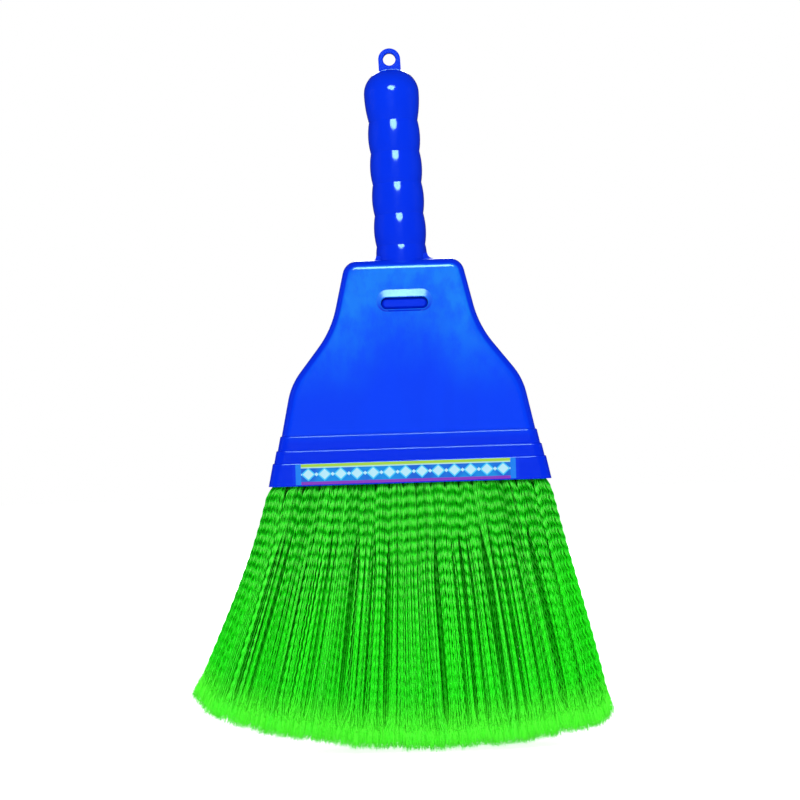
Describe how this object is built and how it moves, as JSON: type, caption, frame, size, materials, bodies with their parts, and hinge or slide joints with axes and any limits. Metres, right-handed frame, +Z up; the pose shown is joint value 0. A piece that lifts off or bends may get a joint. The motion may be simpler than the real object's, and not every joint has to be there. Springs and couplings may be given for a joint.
{
  "type": "hand broom",
  "caption": "Short hand broom: ribbed moulded handle with a hanging eye, flared hollow hood with a stepped hem and a latch slot, and a wide flaring fan of bristle tufts set in rows.",
  "frame": {"origin": "on the ground, under the middle of the whole broom's box, with the broom standing upright on its bristle tips", "axes": "+Z up along the hood, towards the handle; +X to the right seen from the front; the front with the label and the latch slot faces -Y"},
  "size_m": [0.249, 0.0558, 0.4199],
  "materials": {
    "blue_plastic": "gloss",
    "block_plastic": "satin",
    "green_bristle": "satin",
    "anchor_wire": "bright",
    "label_film": "gloss"
  },
  "bodies": {
    "root": {"handle": "blue_plastic", "hood": "blue_plastic", "bristle_block": "block_plastic", "bristle_row_1": "green_bristle", "bristle_row_2": "green_bristle", "bristle_row_3": "green_bristle", "bristle_row_4": "green_bristle", "bristle_row_5": "green_bristle", "tuft_anchors": "anchor_wire", "label": "label_film"}
  },
  "joints": []
}
